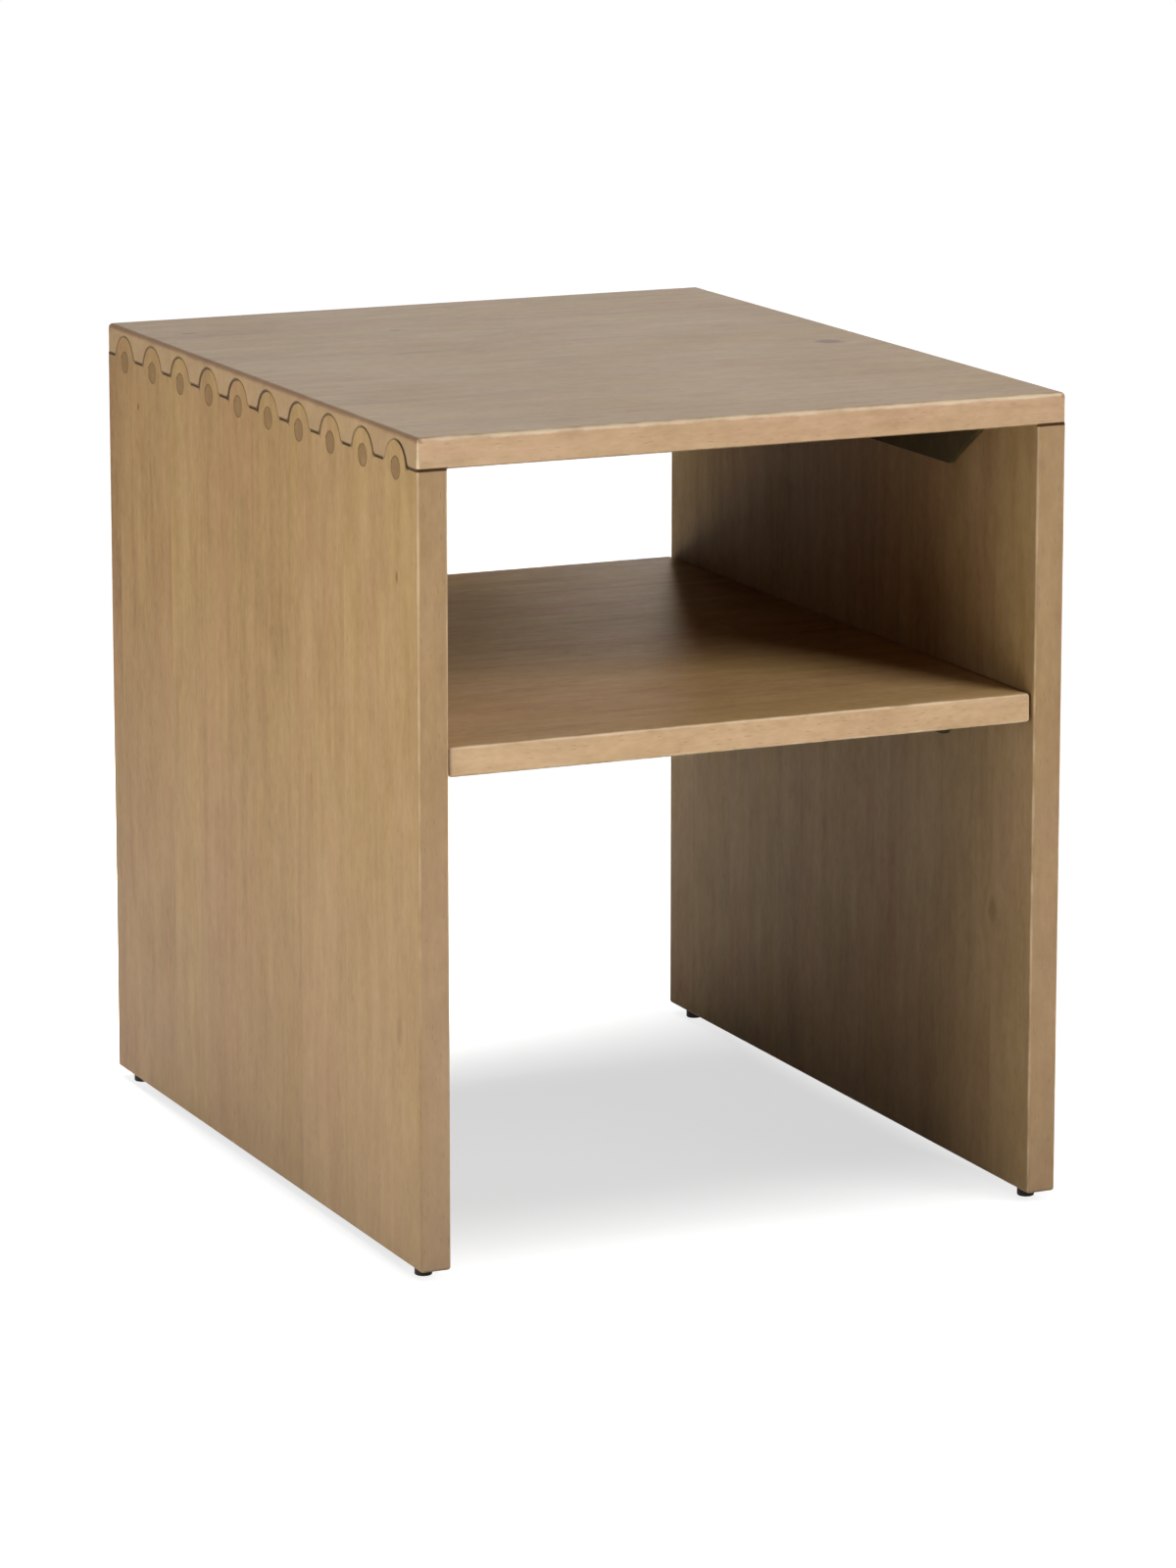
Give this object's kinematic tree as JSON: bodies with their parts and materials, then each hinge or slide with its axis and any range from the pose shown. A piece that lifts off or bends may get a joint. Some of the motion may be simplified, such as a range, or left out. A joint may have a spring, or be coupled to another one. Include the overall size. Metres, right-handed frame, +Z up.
{
  "type": "end table with shelf",
  "caption": "Wooden end table: two upright side panels carry a flush top on scalloped pin joints, and an open shelf hangs on steel angle brackets between them.",
  "frame": {"origin": "on the floor, under the middle of the table", "axes": "+X to the right, +Y to the back, +Z up, seen from the front"},
  "size_m": [0.515, 0.63, 0.613],
  "materials": {
    "top_wood": "satin lacquer over a light brown stain",
    "panel_wood": "satin lacquer over a light brown stain",
    "shelf_wood": "satin lacquer over a light brown stain",
    "pin_wood": "satin lacquer over a light brown stain",
    "bracket_paint": "dark bronze powder coat",
    "screw_steel": "black-oxide steel",
    "glide_plastic": "moulded dark brown plastic"
  },
  "bodies": {
    "root": {"table_top": "top_wood", "shelf": "shelf_wood", "side_panel_right": "panel_wood", "joint_pins_right": "pin_wood", "top_bracket_right": "bracket_paint", "top_bracket_board_screws_right": "screw_steel", "top_bracket_panel_screws_right": "screw_steel", "shelf_bracket_right": "bracket_paint", "shelf_bracket_board_screws_right": "screw_steel", "shelf_bracket_panel_screws_right": "screw_steel", "glide_front_right": "glide_plastic", "glide_screw_front_right": "screw_steel", "glide_back_right": "glide_plastic", "glide_screw_back_right": "screw_steel", "side_panel_left": "panel_wood", "joint_pins_left": "pin_wood", "top_bracket_left": "bracket_paint", "top_bracket_board_screws_left": "screw_steel", "top_bracket_panel_screws_left": "screw_steel", "shelf_bracket_left": "bracket_paint", "shelf_bracket_board_screws_left": "screw_steel", "shelf_bracket_panel_screws_left": "screw_steel", "glide_front_left": "glide_plastic", "glide_screw_front_left": "screw_steel", "glide_back_left": "glide_plastic", "glide_screw_back_left": "screw_steel"}
  },
  "joints": []
}
